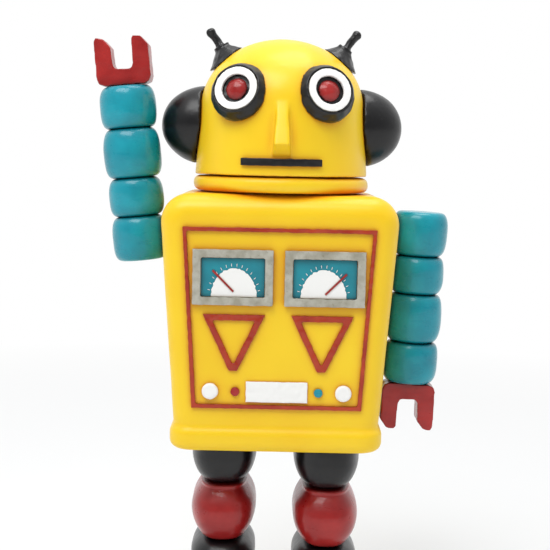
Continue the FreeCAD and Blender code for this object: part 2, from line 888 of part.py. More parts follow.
def antennae(head_outer):
    """A stepped foot on each side of the crown, with a short rod bent a little more upright."""
    lean = math.radians(float(dim.antenna_base_angle))
    axis = Vector(math.sin(lean), 0, math.cos(lean))
    rod_lean = math.radians(float(dim.antenna_rod_angle))
    rod_axis = Vector(math.sin(rod_lean), 0, math.cos(rod_lean))

    def on_axis(distance):
        return (dim.antenna_column + axis.x * distance, 0, dim.antenna_level + axis.z * distance)

    sunk, foot_height, collar_height = 1.6, 4.2, 1.2
    flare = (dim.antenna_base_radius - dim.antenna_collar_radius) / foot_height
    foot = cone(dim.antenna_base_radius + flare * sunk, dim.antenna_collar_radius, sunk + foot_height,
                on_axis(-sunk), axis)
    collar = cylinder(dim.antenna_collar_radius, collar_height, on_axis(foot_height), axis)
    rod_start = on_axis(foot_height)
    length = dim.antenna_rod_length
    rod = cylinder(dim.antenna_rod_radius, length, rod_start, rod_axis)
    tip = ball(dim.antenna_rod_radius + 0.25,
               (rod_start[0] + length * rod_axis.x, 0, rod_start[2] + length * rod_axis.z))
    node(both_sides(cut(fuse(foot, collar, rod, tip), head_outer)), "antennae")


def mouth(head_outer):
    bar = doc.addObject("Part::Cylinder", "mouth_arc")
    bind(bar, "Radius", dim.mouth_radius)
    bind(bar, "Height", dim.mouth_height)
    bind(bar, "Angle", dim.mouth_angle)
    start = -90 - float(dim.mouth_angle) / 2
    place(bar, (0, 0, dim.mouth_level), Rotation(Z_AXIS, start))
    node(cut(bar, head_outer), "mouth_bar")


def neck():
    """A rolled collar whose spigot turns in the torso's top and is held by a clip."""
    collar = turned("collar", [
        (dim.spigot_bore, dim.spigot_bottom),
        (dim.spigot_radius, dim.spigot_bottom),
        (dim.spigot_radius, dim.collar_floor),
        (dim.collar_inner_radius, dim.collar_floor),
        (dim.collar_inner_radius, dim.collar_bottom),
        (dim.collar_radius, dim.collar_bottom),
        (dim.collar_radius, dim.head_bottom),
        (dim.spigot_bore, dim.head_bottom),
    ])
    node(rounded(collar, dim.collar_round, circle_near(dim.collar_radius)), "neck_collar")
    low, high = dim.neck_clip_level, dim.neck_clip_level + dim.neck_clip_thickness
    node(turned("clip", [
        (dim.spigot_radius, low),
        (dim.neck_clip_radius, low),
        (dim.neck_clip_radius, high),
        (dim.spigot_radius, high),
    ]), "neck_clip")


def head():
    head_outer = fuse(*head_form(0, dim.head_bottom))
    head_shell(head_outer)
    neck()
    eye_parts(head_outer)
    mouth(head_outer)
    ears(head_outer)
    antennae(head_outer)


# ---- arms ----


def arm_rotation(side, spread):
    """An arm's own +Z runs along the arm to its hand, and its own -X runs into the torso.

    The right arm is raised and the left one hangs. With no spread both are parallel to the torso's
    flared side; spread, in degrees, moves the hand away from it.
    """
    tilt = math.radians(float(dim.torso_flare_angle) - side * float(spread))
    outward = Vector(side * math.cos(tilt), 0, -math.sin(tilt))
    hand = Vector(-math.sin(tilt), 0, -side * math.cos(tilt))
    return Rotation(outward, Vector(0, -1, 0), hand, "ZXY")


def shoulder(side):
    return dim.shoulder_column * side, 0, dim.shoulder_level


def arm_placed(item, side):
    return place(item, shoulder(side), arm_rotation(side, dim.arm_spread_angle))


def stud_placed(item, side):
    """The shoulder stud is square to the torso's side: its own +Z runs into the torso."""
    return place(item, shoulder(side), arm_rotation(side, 0).multiply(Rotation(Y_AXIS, -90)))


def bead(label, start, end, radius, bore):
    body = turned(label, [(bore, start), (radius, start), (radius, end), (bore, end)])
    return rounded(body, dim.bead_round, circle_near(radius))


def arm_core(side, label):
    """A rod along the arm with a crosswise stud that clips into the torso's side."""
    rod_end = dim.bead_end_four + dim.claw_peg_length
    rod = turned("arm_rod", [(0, dim.arm_start + 2), (dim.arm_rod_radius, dim.arm_start + 2),
                             (dim.arm_rod_radius, rod_end), (0, rod_end)])
    stud_end = dim.arm_stud_length
    clip_start = dim.arm_wall_distance + dim.casing_wall + 0.1
    clip_end = clip_start + dim.arm_clip_thickness
    stud = turned("arm_stud", [(0, 0), (dim.arm_stud_radius, 0), (dim.arm_stud_radius, clip_start),
                               (dim.arm_clip_radius, clip_start), (dim.arm_clip_radius, clip_end),
                               (dim.arm_stud_radius, clip_end), (dim.arm_stud_radius, stud_end), (0, stud_end)])
    node(fuse(arm_placed(rod, side), stud_placed(stud, side)), f"{label}_core")


def claw(side, label):
    """A U-shaped hand that swivels on the end of the arm's rod."""
    start = dim.bead_end_four + dim.wrist_gap
    half_width, gap = dim.claw_half_width, dim.claw_gap_half_width
    web = start + dim.claw_web
    corners = [(-half_width, start), (half_width, start), (half_width, dim.claw_end), (gap, dim.claw_end),
               (gap, web), (-gap, web), (-gap, dim.claw_end), (-half_width, dim.claw_end)]
    body = padded("claw", "XZ_Plane", [corners], dim.claw_thickness, symmetric=True)

    def web_corner(edge):
        return parallel_to(Y_AXIS)(edge) and edge.BoundBox.ZMax < float(start) + 1

    def tip_corner(edge):
        outside = abs(edge.BoundBox.XMax) > float(half_width) - 1
        return parallel_to(Y_AXIS)(edge) and edge.BoundBox.ZMin > float(dim.claw_end) - 1 and outside

    def outer_rim(edge):
        on_face = flat_at((dim.claw_thickness / 2, -dim.claw_thickness / 2), "y")(edge)
        return on_face and abs(edge.BoundBox.XMax + edge.BoundBox.XMin) / 2 > float(half_width) - 1

    rounded(body, dim.claw_web_round, web_corner)
    rounded(body, dim.claw_tip_round, tip_corner)
    rounded(body, dim.claw_rim_round, outer_rim)
    arm_placed(body, side)
    socket = turned("socket", [(0, start - 1), (dim.arm_rod_radius + dim.fit, start - 1),
                               (dim.arm_rod_radius + dim.fit, dim.bead_end_four + dim.claw_peg_length + 0.1),
                               (0, dim.bead_end_four + dim.claw_peg_length + 0.1)])
    arm_placed(socket, side)
    node(cut(body, socket), f"{label}_claw")


def arm(side, word):
    label = f"{word}_arm"
    arm_core(side, label)
    ends = (dim.arm_start, dim.bead_end_one, dim.bead_end_two, dim.bead_end_three, dim.bead_end_four)
    radii = (dim.bead_radius_one, dim.bead_radius_two, dim.bead_radius_three, dim.bead_radius_four)
    stud_hole = turned("stud_hole", [(0, -4), (dim.arm_stud_radius, -4), (dim.arm_stud_radius, 20), (0, 20)])
    stud_placed(stud_hole, side)
    for number, radius in enumerate(radii):
        piece = arm_placed(bead("arm_bead", ends[number], ends[number + 1], radius, dim.arm_rod_radius), side)
        if number == 0:
            piece = cut(piece, stud_hole)
        node(piece, f"{label}_bead_{number + 1}")
    claw(side, word)


# ---- legs ----


def leg_origin(side, level):
    """The left leg starts half a stride forward and the right leg half a stride back."""
    return (dim.leg_column * side, -dim.crank_throw * side, level)


def leg_bead(label, side, bottom, top):
    half_width, half_depth = dim.leg_half_width, dim.leg_half_depth
    corners = [(-half_width, -half_depth), (half_width, -half_depth),
               (half_width, half_depth), (-half_width, half_depth)]
    height = top - bottom
    body = padded("leg_form", "XY_Plane", [corners], height)
    rounded(body, dim.leg_plan_round, parallel_to(Z_AXIS))
    rounded(body, dim.leg_bead_round, flat_at((0, height)))
    drilled(body, 0, 0, dim.leg_rod_radius)
    node(place(body, leg_origin(side, bottom)), label)


def foot(side, label):
    """A rounded shoe under an ankle that matches the beads above it."""
    half_width = dim.foot_half_width
    toe, heel = -dim.foot_toe_reach, dim.foot_heel_reach
    corners = [(-half_width, toe), (half_width, toe), (half_width, heel), (-half_width, heel)]
    shoe = padded("shoe_form", "XY_Plane", [corners], dim.foot_sole_height)
    rounded(shoe, dim.foot_plan_round, parallel_to(Z_AXIS))
    rounded(shoe, dim.foot_edge_round, flat_at((dim.foot_sole_height,)))
    rounded(shoe, 1.5, flat_at((0,)))
    ankle_half, ankle_depth = dim.leg_half_width - 1, dim.leg_half_depth - 4
    ankle_corners = [(-ankle_half, -ankle_depth), (ankle_half, -ankle_depth),
                     (ankle_half, ankle_depth), (-ankle_half, ankle_depth)]
    ankle = padded("ankle_form", "XY_Plane", [ankle_corners], dim.foot_top - 4, offset=4)
    rounded(ankle, dim.leg_plan_round, parallel_to(Z_AXIS))
    rounded(ankle, dim.leg_bead_round, flat_at((dim.foot_top,)))
    place(shoe, leg_origin(side, 0))
    place(ankle, leg_origin(side, 0))
    x, y, _ = leg_origin(side, 0)
    rod_hole = cylinder(dim.leg_rod_radius, 40, (x, y, dim.leg_rod_bottom))
    node(cut(fuse(shoe, ankle), rod_hole), label)


def leg_hanger(side, label):
    """A plate that hangs on both crank pins, with a tab and a rod that carries the leg."""
    x, y, _ = leg_origin(side, 0)
    half_depth = dim.hanger_half_depth
    inner = dim.hanger_inner_face
    outer = inner + dim.hanger_thickness
    near, far = (inner, outer) if side == LEFT else (-outer, -inner)
    plate = box((near, y - half_depth, dim.hip_top), (far, y + half_depth, dim.hanger_top))
    tab = box((x - 3, y - half_depth, dim.hip_top), (x + 3, y + half_depth, dim.hip_top + dim.hanger_tab_thickness))
    rod = cylinder(dim.leg_rod_radius, dim.hip_top - dim.leg_rod_bottom + 1, (x, y, dim.leg_rod_bottom))
    holes = [cylinder(dim.crank_pin_radius + dim.fit, 10, (dim.leg_column * side - 5, y, level), X_AXIS)
             for level in (dim.upper_crank_level, dim.lower_crank_level)]
    node(cut(fuse(plate, tab, rod), *holes), label)


def leg(side, word):
    leg_hanger(side, f"{word}_leg_hanger")
    leg_bead(f"{word}_hip_bead", side, dim.thigh_top, dim.hip_top)
    leg_bead(f"{word}_thigh_bead", side, dim.knee_top, dim.thigh_top)
    leg_bead(f"{word}_knee_bead", side, dim.foot_top, dim.knee_top)
    foot(side, f"{word}_foot")


# ---- walking gear ----


def crankshaft(level):
    """A shaft with a disc and an offset pin at each end. The left pin leads the right by half a turn."""
    disc_start = dim.crank_disc_inner_face
    pieces = [cylinder(dim.crank_shaft_radius, disc_start * 2 + 2, (-disc_start - 1, 0, level), X_AXIS)]
    for side in (RIGHT, LEFT):
        outward = X_AXIS * side
        y = -dim.crank_throw * side
        disc_end = disc_start + dim.crank_disc_thickness
        pieces.append(cylinder(dim.crank_disc_radius, dim.crank_disc_thickness,
                               (disc_start * side, 0, level), outward))
        pieces.append(cylinder(dim.crank_pin_radius, dim.crank_pin_end - disc_end + 1,
                               ((disc_end - 1) * side, y, level), outward))
        pieces.append(cylinder(dim.crank_pin_head_radius, dim.crank_pin_end - dim.crank_pin_head_start,
                               (dim.crank_pin_head_start * side, y, level), outward))
    return fuse(*pieces)


def walking_gear():
    # a gap of this pinion faces +Y, towards a tooth of the crown wheel
    half_pitch = 180 / float(dim.pinion_teeth)
    pinion = gear("drive_pinion", dim.pinion_teeth, dim.gear_module, dim.drive_pinion_thickness,
                  dim.crank_shaft_radius, 90 + half_pitch,
                  (dim.drive_pinion_face, 0, dim.upper_crank_level), "x")
    node(fuse(crankshaft(dim.upper_crank_level), pinion), "upper_crankshaft")
    node(crankshaft(dim.lower_crank_level), "lower_crankshaft")
    teeth = dim.crank_gear_teeth
    tooth_pitch = 360 / float(teeth)
    shaft = dim.crank_shaft_radius
    idler_bore = dim.idler_pin_radius + dim.fit
    wheels = (
        ("upper_crank_gear", shaft, 0, dim.upper_crank_level),
        ("idler_gear", idler_bore, tooth_pitch / 2, dim.idler_level),
        ("lower_crank_gear", shaft, 0, dim.lower_crank_level),
    )
    for label, bore, first_tooth, level in wheels:
        node(gear(label, teeth, dim.gear_module, dim.crank_gear_thickness, bore, first_tooth,
                  (dim.crank_gear_face, 0, level), "x"), label)


def walking_frame():
    """A folded sheet frame: two cheeks that carry the crankshafts and a web that carries the motor."""
    inner, outer = dim.cheek_inner_face, dim.cheek_inner_face + dim.cheek_thickness
    front, back = dim.frame_front, dim.frame_back
    web = back - dim.cheek_thickness
    bottom = dim.base_plate_level + dim.base_plate_thickness
    plan = [(-outer, front), (-inner, front), (-inner, web), (inner, web), (inner, front), (outer, front),
            (outer, back), (-outer, back)]
    folded = padded("frame_sheet", "XY_Plane", [plan], dim.frame_top - bottom, offset=bottom)
    holes = [cylinder(dim.crank_shaft_radius + dim.fit, 40, (-20, 0, level), X_AXIS)
             for level in (dim.upper_crank_level, dim.lower_crank_level)]
    holes.append(cylinder(dim.arbor_radius + dim.fit, 6, (0, back - 3, dim.upper_crank_level), Y_AXIS))
    idler_pin = cylinder(dim.idler_pin_radius, dim.idler_pin_length + 0.5, (-inner - 0.5, 0, dim.idler_level), X_AXIS)
    node(fuse(cut(folded, *holes), idler_pin), "walking_frame")


# ---- motor ----


def gear_distance(teeth, other_teeth, module):
    return (teeth + other_teeth) * module / 2


governor_distance = gear_distance(dim.second_wheel_teeth, dim.governor_teeth, dim.fine_module)
governor_direction = math.radians(float(dim.governor_angle))
governor_x = governor_distance * math.cos(governor_direction)
governor_z = dim.upper_crank_level + governor_distance * math.sin(governor_direction)


def motor_plates():
    plates = []
    half_width, thickness = dim.motor_plate_half_width, dim.motor_plate_thickness
    for face in (dim.front_plate_face, dim.rear_plate_face):
        plate = box((-half_width, face, dim.motor_plate_bottom), (half_width, face + thickness, dim.motor_plate_top))
        holes = [
            cylinder(dim.arbor_radius + dim.fit, 6, (0, face - 2, dim.upper_crank_level), Y_AXIS),
            cylinder(dim.key_arbor_radius + dim.fit, 6, (0, face - 2, dim.great_wheel_level), Y_AXIS),
            cylinder(dim.governor_arbor_radius + dim.fit, 6, (governor_x, face - 2, governor_z), Y_AXIS),
        ]
        plates.append(cut(plate, *holes))
    node(group(*plates), "motor_plates")
    start = dim.front_plate_face + thickness
    length = dim.rear_plate_face - start
    pillars = [cylinder(dim.pillar_radius, length, (dim.pillar_column * side, start, level), Y_AXIS)
               for side in (RIGHT, LEFT) for level in (dim.pillar_low_level, dim.pillar_high_level)]
    node(group(*pillars), "motor_pillars")


def crown_shape():
    """A disc with teeth on its face, about Z. A tooth is centred on its own +X, and teeth point to -Z."""
    thickness = float(dim.crown_disc_thickness)
    radius = float(dim.crown_radius)
    inner = float(dim.crown_tooth_inner)
    disc_gap = float(dim.crown_disc_face - dim.crown_pitch_plane)
    tip = ADDENDUM * float(dim.gear_module)
    half_width = float(dim.crown_tooth_width) / 2
    half_base = half_width + disc_gap * math.tan(PRESSURE_ANGLE)
    half_tip = half_width - tip * math.tan(PRESSURE_ANGLE)
    disc = Part.makeCylinder(radius, thickness)
    section = [Vector(inner, -half_base, 0), Vector(inner, half_base, 0),
               Vector(inner, half_tip, -disc_gap - tip), Vector(inner, -half_tip, -disc_gap - tip)]
    tooth = Part.Face(Part.makePolygon(section + section[:1])).extrude(X_AXIS * (radius - 0.2 - inner))
    count = round(float(dim.crown_teeth))
    turned_teeth = [tooth.rotated(Vector(), Z_AXIS, number * 360 / count) for number in range(count)]
    wheel = disc.fuse(turned_teeth)
    return wheel.cut(Part.makeCylinder(float(dim.arbor_radius), 10, Vector(0, 0, -5)))


def first_train():
    level = dim.upper_crank_level
    crown = computed(crown_shape(), "crown")
    node(place(crown, (0, dim.crown_disc_face, level), FACING["y"]), "crown_wheel")
    end = dim.rear_plate_face + dim.motor_plate_thickness
    arbor = cylinder(dim.arbor_radius, end - dim.crown_disc_face, (0, dim.crown_disc_face, level), Y_AXIS)
    half_pitch = 180 / float(dim.pinion_teeth)
    pinion = gear("arbor_pinion", dim.pinion_teeth, dim.gear_module, dim.great_wheel_thickness,
                  dim.arbor_radius, -90 + half_pitch, (0, dim.great_wheel_face, level), "y")
    node(fuse(arbor, pinion), "crown_arbor")
    # gear planes about +Y show world +Z as their own -Y, so angles in them are reversed
    node(gear("second", dim.second_wheel_teeth, dim.fine_module, dim.second_wheel_thickness, dim.arbor_radius,
              -dim.governor_angle, (0, dim.second_wheel_face, level), "y"), "second_wheel")


def key_train():
    level = dim.great_wheel_level
    radius = dim.key_arbor_radius
    node(gear("great", dim.great_wheel_teeth, dim.gear_module, dim.great_wheel_thickness, radius, 90,
              (0, dim.great_wheel_face, level), "y"), "great_wheel")
    start = dim.front_plate_face
    node(cylinder(radius, dim.key_arbor_end - start, (0, start, level), Y_AXIS), "key_arbor")
    barrel_end = dim.key_bow_centre
    barrel = cylinder(dim.key_barrel_radius, barrel_end - dim.key_barrel_start, (0, dim.key_barrel_start, level), Y_AXIS)
    half = dim.key_bow_thickness / 2
    wings = [cylinder(dim.key_bow_radius, dim.key_bow_thickness, (dim.key_bow_spread * side, dim.key_bow_centre,
                                                                  level - half)) for side in (RIGHT, LEFT)]
    bridge = box((-dim.key_bow_spread, dim.key_bow_centre - 4, level - half),
                 (dim.key_bow_spread, dim.key_bow_centre + 4, level + half))
    bore = cylinder(radius, dim.key_arbor_end - dim.key_barrel_start, (0, dim.key_barrel_start, level), Y_AXIS)
    node(cut(fuse(barrel, bridge, *wings), bore), "winding_key")


def governor():
    """A small pinion, arbor and two-bladed fan that limits the motor's speed."""
    base_x, base_z = governor_x, governor_z
    start = dim.front_plate_face
    end = dim.rear_plate_face + dim.motor_plate_thickness
    arbor = cylinder(dim.governor_arbor_radius, end - start, (base_x, start, base_z), Y_AXIS)
    half_pitch = 180 / float(dim.governor_teeth)
    facing_back = -dim.governor_angle + 180 + half_pitch
    pinion = gear("governor_pinion", dim.governor_teeth, dim.fine_module, dim.second_wheel_thickness,
                  dim.governor_arbor_radius, facing_back, (base_x, dim.second_wheel_face, base_z), "y")
    hub = cylinder(dim.fan_hub_radius, dim.fan_depth, (base_x, dim.fan_face, base_z), Y_AXIS)
    half = dim.fan_thickness / 2
    blade = box((base_x - dim.fan_reach, dim.fan_face, base_z - half),
                (base_x + dim.fan_reach, dim.fan_face + dim.fan_depth, base_z + half))
    node(fuse(arbor, pinion, hub, blade), "governor_fly")


def mainspring():
    """A flat spring coiled round the key arbor, drawn as half circles about two centres."""
    half = float(dim.spring_thickness) / 2
    shift = float(dim.spring_pitch) / 4
    sides = {half: [], -half: []}
    ends = {}
    for offset, arcs in sides.items():
        for number in range(round(float(dim.spring_half_turns))):
            outward = 1 if number % 2 == 0 else -1
            centre = Vector(-shift * outward, 0, 0)
            radius = float(dim.spring_start_radius) + number * shift * 2 + offset
            start = centre + X_AXIS * radius * outward
            end = centre - X_AXIS * radius * outward
            arcs.append(Part.Arc(start, centre + Y_AXIS * radius * outward, end).toShape())
            if number == 0:
                ends[offset, "start"] = start
            ends[offset, "end"] = end
    caps = [Part.makeLine(ends[half, word], ends[-half, word]) for word in ("start", "end")]
    outline = Part.Wire(Part.__sortEdges__(sides[half] + sides[-half] + caps))
    ribbon = Part.Face(outline).extrude(Z_AXIS * float(dim.spring_width))
    item = computed(ribbon, "spring")
    node(place(item, (0, dim.spring_face, dim.great_wheel_level), FACING["y"]), "mainspring")


# ---- the whole robot ----


def check_document():
    for item in doc.Objects:
        if "Invalid" in item.State or "Error" in item.State:
            raise RuntimeError(f"{item.Name} ({item.Label}) is {item.State}")
    for item in nodes:
        if item.Shape.isNull() or not item.Shape.isValid() or not item.Shape.Solids:
            raise RuntimeError(f"{item.Label} has no valid solid")


def export_nodes():
    os.makedirs("parts", exist_ok=True)
    for item in nodes:
        item.Shape.exportStep(f"parts/{item.Label}.step")


torso_shells()
body_screws()
base_plate()
panel_border()
gauges()
triangles()
button_row()
head()
for arm_side, arm_word in ((RIGHT, "right"), (LEFT, "left")):
    arm(arm_side, arm_word)
    leg(arm_side, arm_word)
walking_frame()
walking_gear()
motor_plates()
first_train()
key_train()
governor()
mainspring()
doc.recompute()
check_document()
export_nodes()
print(f"{len(nodes)} sub-parts")
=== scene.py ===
import json
import math

import bmesh
import bpy
from mathutils import Matrix, Vector, noise


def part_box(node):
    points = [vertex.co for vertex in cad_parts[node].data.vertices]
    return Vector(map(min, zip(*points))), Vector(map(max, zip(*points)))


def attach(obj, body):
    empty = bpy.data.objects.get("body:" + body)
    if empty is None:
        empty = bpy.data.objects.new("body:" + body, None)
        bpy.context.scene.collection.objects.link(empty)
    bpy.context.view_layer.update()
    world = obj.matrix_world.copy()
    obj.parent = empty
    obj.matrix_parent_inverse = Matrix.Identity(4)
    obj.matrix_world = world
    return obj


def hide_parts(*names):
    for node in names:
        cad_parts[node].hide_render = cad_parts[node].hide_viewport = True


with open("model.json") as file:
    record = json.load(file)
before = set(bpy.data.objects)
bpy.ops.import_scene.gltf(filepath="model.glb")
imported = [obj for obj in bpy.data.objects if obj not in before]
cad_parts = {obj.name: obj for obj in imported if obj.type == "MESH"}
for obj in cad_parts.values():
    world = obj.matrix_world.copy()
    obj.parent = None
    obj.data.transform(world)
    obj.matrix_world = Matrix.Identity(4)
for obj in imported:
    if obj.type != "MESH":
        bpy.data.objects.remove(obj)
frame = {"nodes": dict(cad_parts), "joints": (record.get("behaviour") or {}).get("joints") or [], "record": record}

# A wind-up robot in thick, hand-painted plastic, standing on a pale floor.
# Lengths are metres in the frame of the CAD model: +Z up, the robot faces -Y.

MM = 0.001
TAU = 2 * math.pi
SIDES = ("right", "left")
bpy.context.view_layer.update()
joints = {joint["name"]: joint for joint in frame["joints"]}
bodies = frame["record"]["behaviour"]["bodies"]
slot_of = {part["node"]: part["material_slot"] for part in frame["record"]["subparts"]}
body_of = {member: body for body, members in bodies.items() for member in members}


# ---- materials ----


class Shader:
    """A material's node tree, with short ways to add and join its nodes."""

    def __init__(self, name):
        self.material = bpy.data.materials.new(name)
        self.material.use_nodes = True
        self.tree = self.material.node_tree
        self.surface = self.tree.nodes["Principled BSDF"]
        self.place = self.add("ShaderNodeTexCoord").outputs["Object"]

    def add(self, kind, **inputs):
        item = self.tree.nodes.new(kind)
        for key, value in inputs.items():
            self.feed(item.inputs[key.replace("_", " ")], value)
        return item

    def feed(self, socket, value):
        if isinstance(value, bpy.types.NodeSocket):
            self.tree.links.new(value, socket)
        else:
            socket.default_value = value

    def set(self, **inputs):
        for name, value in inputs.items():
            self.feed(self.surface.inputs[name.replace("_", " ")], value)

    def noise(self, scale, detail=3.0, stretch=(1, 1, 1)):
        """Noise whose features are about 1 / scale metres wide, drawn out along the small axes."""
        mapping = self.add("ShaderNodeMapping", Vector=self.place, Scale=stretch)
        cloud = self.add("ShaderNodeTexNoise", Vector=mapping.outputs[0], Scale=scale, Detail=detail)
        return cloud.outputs["Fac"]

    def ramp(self, factor, low, high, low_value=0.0, high_value=1.0):
        """Low_value where a factor is at or under low, high_value at or over high."""
        item = self.add("ShaderNodeMapRange", Value=factor, From_Min=low, From_Max=high,
                        To_Min=low_value, To_Max=high_value)
        return item.outputs["Result"]

    def mix(self, factor, first, second):
        """The first colour where the factor is 0, the second where it is 1."""
        item = self.tree.nodes.new("ShaderNodeMix")
        item.data_type = "RGBA"
        self.feed(item.inputs["Factor"], factor)
        colours = [socket for socket in item.inputs if socket.type == "RGBA"]
        for socket, value in zip(colours, (first, second)):
            self.feed(socket, value if isinstance(value, bpy.types.NodeSocket) else (*value, 1))
        return item.outputs[2]

    def crevice(self, distance, low=0.5, high=0.95):
        """1 in a crevice narrower than a distance, 0 on open surfaces: the mask for painted shade."""
        shade = self.add("ShaderNodeAmbientOcclusion", Distance=distance)
        return self.ramp(shade.outputs["AO"], low, high, 1.0, 0.0)

    def bump(self, height, depth, strength):
        item = self.add("ShaderNodeBump", Height=height, Distance=depth, Strength=strength)
        self.set(Normal=item.outputs["Normal"])

    def gloss(self, roughness, specular, coat, coat_roughness):
        self.set(Roughness=roughness, Specular_IOR_Level=specular, Coat_Weight=coat,
                 Coat_Roughness=coat_roughness)


def yellow_plastic():
    """Warm yellow paint, with orange painted shade in its crevices."""
    deep, bright, orange = (0.93, 0.59, 0.008), (0.97, 0.66, 0.012), (0.80, 0.26, 0.006)
    shader = Shader("yellow_plastic")
    body = shader.mix(shader.ramp(shader.noise(scale=26, detail=2), 0.35, 0.68), deep, bright)
    # Painted shade: the yellow turns orange in crevices, where shade falls.
    painted_shade = shader.ramp(shader.crevice(4.2 * MM, low=0.45, high=1.0), 0.0, 1.0, 0.0, 0.85)
    shader.set(Base_Color=shader.mix(painted_shade, body, orange))
    roughness = shader.ramp(shader.noise(scale=120), 0.3, 0.7, 0.34, 0.46)
    shader.gloss(roughness, specular=0.35, coat=0.2, coat_roughness=0.22)
    shader.set(Subsurface_Weight=0.06, Subsurface_Radius=(4 * MM, 2 * MM, 0.4 * MM))
    shader.bump(shader.noise(scale=230, detail=4), depth=0.14 * MM, strength=0.5)
    return shader.material


def brushed_paint(name, dark, light, shade_colour, smoothest):
    """Thick glossy paint laid on by hand: cloudy colour, ridges along the strokes, and painted shade darkening its
    crevices.
    """
    shader = Shader(name)
    stroke = shader.noise(scale=420, detail=5, stretch=(0.3, 1, 1))
    tone = shader.mix(shader.ramp(shader.noise(scale=90), 0.32, 0.68), dark, light)
    thin = shader.mix(shader.ramp(stroke, 0.4, 0.8, 0.0, 0.3), tone, light)
    # Painted shade: crevices are darkened towards the shade colour.
    shader.set(Base_Color=shader.mix(shader.crevice(4 * MM, low=0.35), thin, shade_colour))
    roughness = shader.ramp(stroke, 0.3, 0.7, smoothest, smoothest + 0.12)
    shader.gloss(roughness, specular=0.3, coat=0.35, coat_roughness=0.1)
    shader.bump(stroke, depth=0.2 * MM, strength=0.55)
    return shader.material


def black_paint():
    """Satin black with faint scuffs."""
    black, scuffed = (0.003, 0.003, 0.004), (0.03, 0.03, 0.034)
    shader = Shader("black_paint")
    scuff = shader.ramp(shader.noise(scale=380, detail=6, stretch=(1, 0.3, 1)), 0.66, 0.85, 0.0, 0.6)
    shader.set(Base_Color=shader.mix(scuff, black, scuffed))
    roughness = shader.ramp(shader.noise(scale=160), 0.3, 0.7, 0.3, 0.42)
    shader.gloss(roughness, specular=0.35, coat=0.25, coat_roughness=0.18)
    shader.bump(shader.noise(scale=420, detail=4), depth=0.16 * MM, strength=0.6)
    return shader.material


def white_paint():
    """Satin white, with painted brownish shade in its crevices."""
    white, crevice_shade = (0.92, 0.92, 0.90), (0.60, 0.55, 0.45)
    shader = Shader("white_paint")
    # Painted shade: crevices turn brownish grey.
    shader.set(Base_Color=shader.mix(shader.crevice(1.2 * MM), white, crevice_shade))
    roughness = shader.ramp(shader.noise(scale=300), 0.3, 0.7, 0.32, 0.45)
    shader.gloss(roughness, specular=0.4, coat=0.1, coat_roughness=0.2)
    shader.bump(shader.noise(scale=500, detail=4), depth=0.12 * MM, strength=0.6)
    return shader.material


def silver_paint():
    """Greyish silver paint with dull patches, worn spots, brush ridges and painted shade in its crevices."""
    dull, bright, bare, crevice_shade = (0.36, 0.34, 0.27), (0.52, 0.51, 0.44), (0.22, 0.19, 0.12), (0.16, 0.13, 0.07)
    shader = Shader("silver_paint")
    cloud = shader.noise(scale=260, detail=4)
    tone = shader.mix(shader.ramp(cloud, 0.35, 0.65), dull, bright)
    worn = shader.mix(shader.ramp(shader.noise(scale=900, detail=6), 0.62, 0.75, 0.0, 0.6), tone, bare)
    # Painted shade: crevices are darkened towards a dark brown.
    shader.set(Base_Color=shader.mix(shader.crevice(1.2 * MM), worn, crevice_shade), Metallic=0.35)
    shader.gloss(shader.ramp(cloud, 0.3, 0.7, 0.36, 0.55), specular=0.4, coat=0.0, coat_roughness=0.2)
    shader.bump(shader.noise(scale=700, detail=5, stretch=(0.4, 1, 1)), depth=0.18 * MM, strength=0.7)
    return shader.material


def metal(name, dark, light, stretch, smoothest):
    """Bare metal with fine drawn lines."""
    shader = Shader(name)
    lines = shader.noise(scale=900, detail=4, stretch=stretch)
    shader.set(Base_Color=shader.mix(shader.ramp(lines, 0.3, 0.7), dark, light), Metallic=1.0,
               Roughness=shader.ramp(lines, 0.3, 0.7, smoothest, smoothest + 0.15))
    shader.bump(lines, depth=0.04 * MM, strength=0.5)
    return shader.material


# Distances from the middle of the floor, in metres, where it starts and ends fading into the white room
FLOOR_FADE = (0.12, 0.75)


def floor_paint():
    """A pale floor that fades into a plain white room."""
    shader = Shader("floor_paint")
    tone = shader.mix(shader.noise(scale=6, detail=2), (0.80, 0.81, 0.82), (0.83, 0.84, 0.84))
    shader.set(Base_Color=tone, Roughness=0.6, Specular_IOR_Level=0.2)
    reach = shader.add("ShaderNodeVectorMath", Vector=shader.place)
    reach.operation = "LENGTH"
    glow = shader.add("ShaderNodeEmission")
    fade = shader.add("ShaderNodeMixShader", Fac=shader.ramp(reach.outputs["Value"], *FLOOR_FADE))
    output = shader.tree.nodes["Material Output"]
    shader.feed(fade.inputs[1], shader.surface.outputs[0])
    shader.feed(fade.inputs[2], glow.outputs[0])
    shader.feed(output.inputs["Surface"], fade.outputs[0])
    return shader.material


materials = {
    "yellow_shell": yellow_plastic(),
    "black_trim": black_paint(),
    "red_paint": brushed_paint("red_gloss", dark=(0.27, 0.008, 0.008), light=(0.42, 0.022, 0.020),
                               shade_colour=(0.08, 0.003, 0.003), smoothest=0.26),
    "teal_paint": brushed_paint("teal_gloss", dark=(0.002, 0.22, 0.30), light=(0.006, 0.33, 0.42),
                                shade_colour=(0.001, 0.06, 0.08), smoothest=0.24),
    "white_paint": white_paint(),
    "silver_paint": silver_paint(),
    "dial_teal": brushed_paint("dial_teal", dark=(0.003, 0.19, 0.25), light=(0.006, 0.27, 0.34),
                               shade_colour=(0.001, 0.05, 0.065), smoothest=0.4),
    "steel": metal("steel", dark=(0.46, 0.46, 0.47), light=(0.62, 0.62, 0.63),
                   stretch=(1, 0.1, 1), smoothest=0.24),
    "brass": metal("brass", dark=(0.55, 0.36, 0.12), light=(0.72, 0.50, 0.20),
                   stretch=(1, 0.2, 1), smoothest=0.24),
    "spring_steel": metal("spring_steel", dark=(0.10, 0.12, 0.17), light=(0.20, 0.23, 0.30),
                          stretch=(1, 0.05, 1), smoothest=0.3),
}
trim_red = brushed_paint("trim_red", dark=(0.31, 0.014, 0.004), light=(0.47, 0.045, 0.010),
                         shade_colour=(0.16, 0.010, 0.002), smoothest=0.34)


# ---- pieces ----


